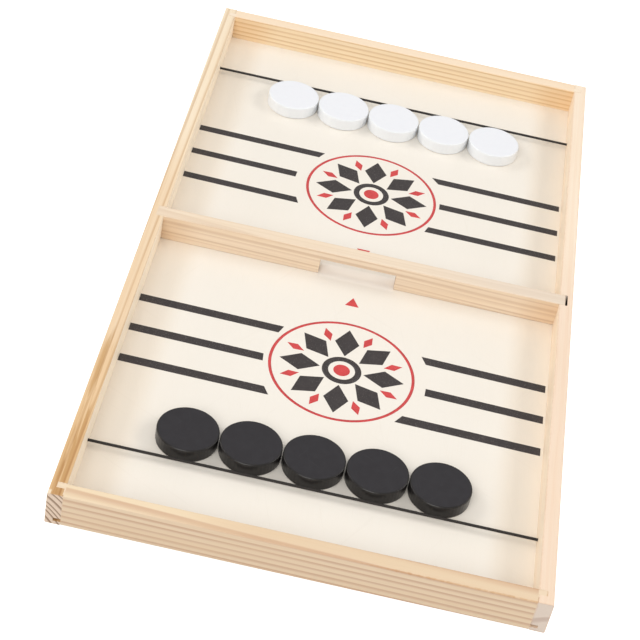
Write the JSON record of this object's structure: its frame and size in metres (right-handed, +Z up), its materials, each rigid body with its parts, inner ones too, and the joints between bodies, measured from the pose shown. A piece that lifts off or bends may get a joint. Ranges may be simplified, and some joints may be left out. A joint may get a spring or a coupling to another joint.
{
  "type": "sling puck tabletop hockey board",
  "caption": "Shallow pine tray with a gated divider across the middle, a stretched elastic cord near each end and two rows of loose pucks that are slung through the gate.",
  "frame": {"origin": "centre of the tray's footprint, on the table", "axes": "+X across the tray to the right as the black side's player sees it, +Y along the tray from the black pucks to the white pucks, +Z up"},
  "size_m": [0.2964, 0.562, 0.024],
  "materials": {
    "pine": "planed and sanded pine, bare or with a thin matt seal, fine straight grain",
    "printed_floor": "thin board with a smooth pale cream printed face, charcoal and red lines",
    "elastic_cord": "round braided elastic, black-brown, matt",
    "black_puck": "moulded plastic, matt charcoal faces with faint scuffs and a smoother rim",
    "white_puck": "moulded plastic, cool white, soft satin"
  },
  "bodies": {
    "board": {"side_rail_left": "pine", "side_rail_right": "pine", "end_rail_near": "pine", "end_rail_far": "pine", "divider": "pine", "floor_panel": "printed_floor", "knot_near_left": "elastic_cord", "knot_near_right": "elastic_cord", "knot_far_left": "elastic_cord", "knot_far_right": "elastic_cord"},
    "sling_near": {"cord_near": "elastic_cord"},
    "sling_far": {"cord_far": "elastic_cord"},
    "black_1": {"puck_black_1": "black_puck"},
    "black_2": {"puck_black_2": "black_puck"},
    "black_3": {"puck_black_3": "black_puck"},
    "black_4": {"puck_black_4": "black_puck"},
    "black_5": {"puck_black_5": "black_puck"},
    "white_1": {"puck_white_1": "white_puck"},
    "white_2": {"puck_white_2": "white_puck"},
    "white_3": {"puck_white_3": "white_puck"},
    "white_4": {"puck_white_4": "white_puck"},
    "white_5": {"puck_white_5": "white_puck"}
  },
  "joints": [
    {"name": "sling_near_draw", "type": "slide", "parent": "board", "child": "sling_near", "axis": [0, 1, 0], "range_m": [-0.05, 0], "stiffness_N_per_m": 100, "deforming": ["cord_near"]},
    {"name": "sling_far_draw", "type": "slide", "parent": "board", "child": "sling_far", "axis": [0, 1, 0], "range_m": [0, 0.05], "stiffness_N_per_m": 100, "deforming": ["cord_far"]},
    {"name": "black_1_slide", "type": "slide", "parent": "board", "child": "black_1", "axis": [0, 1, 0], "range_m": [-0.0015, 0.1685]},
    {"name": "black_2_slide", "type": "slide", "parent": "board", "child": "black_2", "axis": [0, 1, 0], "range_m": [-0.0015, 0.1685]},
    {"name": "black_3_slide", "type": "slide", "parent": "sling_near", "child": "black_3", "axis": [0, 1, 0], "range_m": [-0.0015, 0.345]},
    {"name": "black_4_slide", "type": "slide", "parent": "board", "child": "black_4", "axis": [0, 1, 0], "range_m": [-0.0015, 0.1685]},
    {"name": "black_5_slide", "type": "slide", "parent": "board", "child": "black_5", "axis": [0, 1, 0], "range_m": [-0.0015, 0.1685]},
    {"name": "white_1_slide", "type": "slide", "parent": "board", "child": "white_1", "axis": [0, 1, 0], "range_m": [-0.1665, 0.002]},
    {"name": "white_2_slide", "type": "slide", "parent": "board", "child": "white_2", "axis": [0, 1, 0], "range_m": [-0.1655, 0.003]},
    {"name": "white_3_slide", "type": "slide", "parent": "sling_far", "child": "white_3", "axis": [0, 1, 0], "range_m": [-0.345, 0.004]},
    {"name": "white_4_slide", "type": "slide", "parent": "board", "child": "white_4", "axis": [0, 1, 0], "range_m": [-0.1635, 0.005]},
    {"name": "white_5_slide", "type": "slide", "parent": "board", "child": "white_5", "axis": [0, 1, 0], "range_m": [-0.1625, 0.006]}
  ]
}
